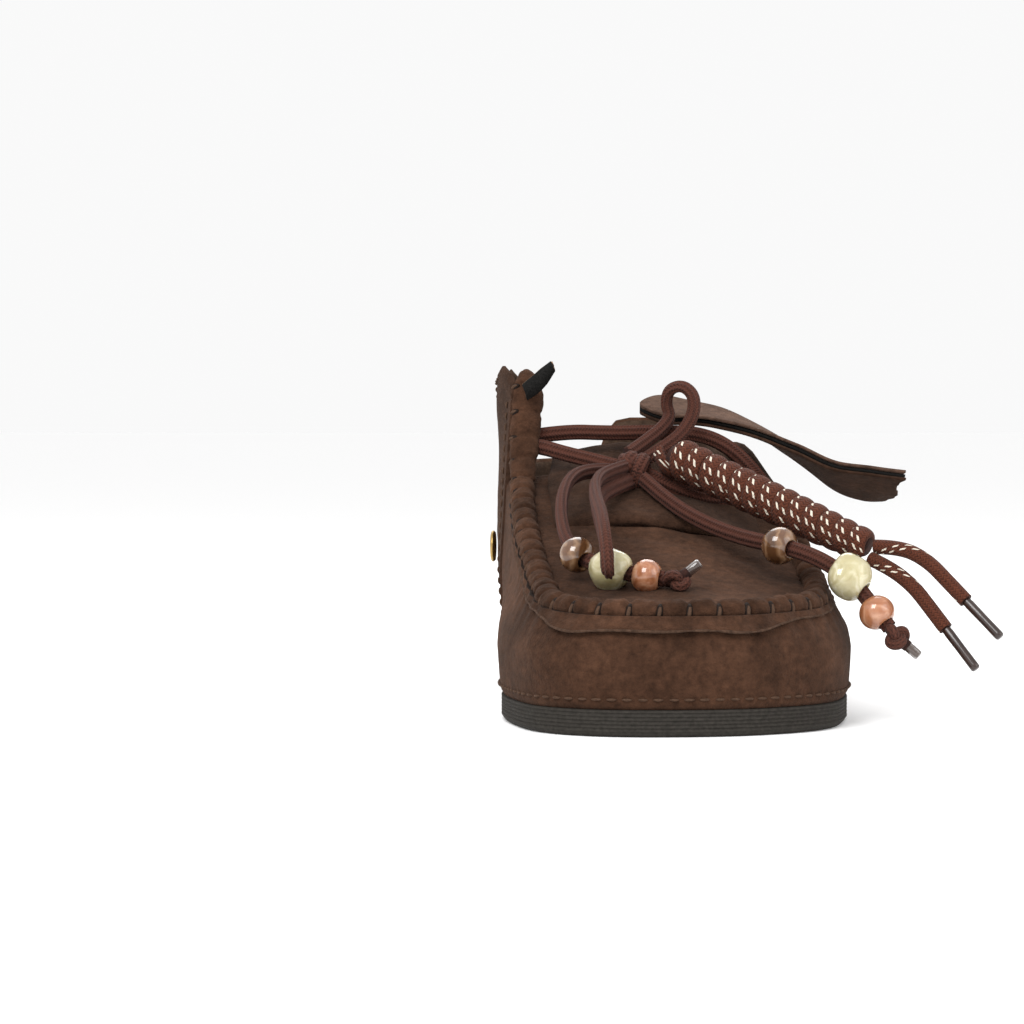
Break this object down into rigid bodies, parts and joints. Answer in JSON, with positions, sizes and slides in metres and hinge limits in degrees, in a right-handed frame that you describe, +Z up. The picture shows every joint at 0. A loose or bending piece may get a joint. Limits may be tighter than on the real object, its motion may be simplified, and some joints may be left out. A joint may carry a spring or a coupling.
{
  "type": "moccasin",
  "caption": "Suede moccasin with a puckered toe seam, a thin ribbed rubber sole, a bow-tied lace with beads on its ends and a wound bundle of spare lace.",
  "frame": {"origin": "centre of the flat underside of the outsole, at mid-length", "axes": "+Z up, toe towards -Y, heel towards +Y, medial side towards -X"},
  "size_m": [0.1427, 0.2721, 0.1056],
  "materials": {
    "suede": "matt suede",
    "lining": "matt lining leather",
    "footbed": "matt leather",
    "sole_rubber": "matt, finely ribbed",
    "board": "matt fibre board",
    "counter": "stiff leather board",
    "thread": "waxed thread",
    "strap_core": "black felt core",
    "lace": "ribbed woven lace",
    "spare_lace": "round braid with pale tracer",
    "bead_brown": "banded gloss",
    "bead_cream": "marbled gloss",
    "bead_peach": "pearly gloss",
    "aglet": "glossy film",
    "clear_tip": "clear film",
    "brass": "aged"
  },
  "bodies": {
    "shoe": {"apron": "suede", "bow_knot": "lace", "bow_loop_back": "lace", "footbed": "footbed", "heel_counter": "counter", "heel_piece": "suede", "insole_board": "board", "lace_bar": "lace", "lace_strand_lateral": "lace", "lace_strand_medial": "lace", "lateral_quarter": "suede", "lateral_side_eyelet": "brass", "medial_ear": "suede", "medial_quarter": "suede", "medial_side_eyelet": "brass", "moc_roll": "suede", "outsole": "sole_rubber", "quarter_lining": "lining", "seam_lip": "suede", "strap_core_root": "strap_core", "strap_lower_suede_root": "suede", "strap_upper_suede_root": "suede", "tongue": "suede", "vamp": "suede", "vamp_lining": "lining", "whip_stitches": "thread"},
    "lace_front": {"bow_loop_front": "lace", "lace_end_medial": "lace", "bead_brown_medial": "bead_brown", "bead_cream_medial": "bead_cream", "bead_peach_medial": "bead_peach", "stopper_knot_medial": "lace", "lace_tip_medial": "clear_tip"},
    "lace_side": {"lace_end_lateral": "lace", "bead_brown_lateral": "bead_brown", "bead_cream_lateral": "bead_cream", "bead_peach_lateral": "bead_peach", "stopper_knot_lateral": "lace", "lace_tip_lateral": "clear_tip"},
    "spare_lace": {"spare_lace_bundle": "spare_lace", "spare_lace_end_upper": "spare_lace", "spare_lace_end_lower": "spare_lace", "aglet_upper": "aglet", "aglet_lower": "aglet"},
    "strap": {"strap_lower_suede_free": "suede", "strap_core_free": "strap_core", "strap_upper_suede_free": "suede"}
  },
  "joints": [
    {"name": "strap_fold", "type": "hinge", "parent": "shoe", "child": "strap", "pos_m": [0.0361, 0.0162, 0.0858], "axis": [0, -1, 0], "range_deg": [0, 35]},
    {"name": "lace_front_lift", "type": "hinge", "parent": "shoe", "child": "lace_front", "pos_m": [-0.007, -0.02, 0.072], "axis": [-0.9864, 0.1644, 0], "range_deg": [0, 40]},
    {"name": "lace_side_lift", "type": "hinge", "parent": "shoe", "child": "lace_side", "pos_m": [-0.007, -0.02, 0.072], "axis": [-0.7926, -0.6097, 0], "range_deg": [0, 10]},
    {"name": "spare_lace_lift", "type": "hinge", "parent": "shoe", "child": "spare_lace", "pos_m": [-0.007, -0.02, 0.072], "axis": [-0.7355, -0.6776, 0], "range_deg": [0, 30]}
  ]
}
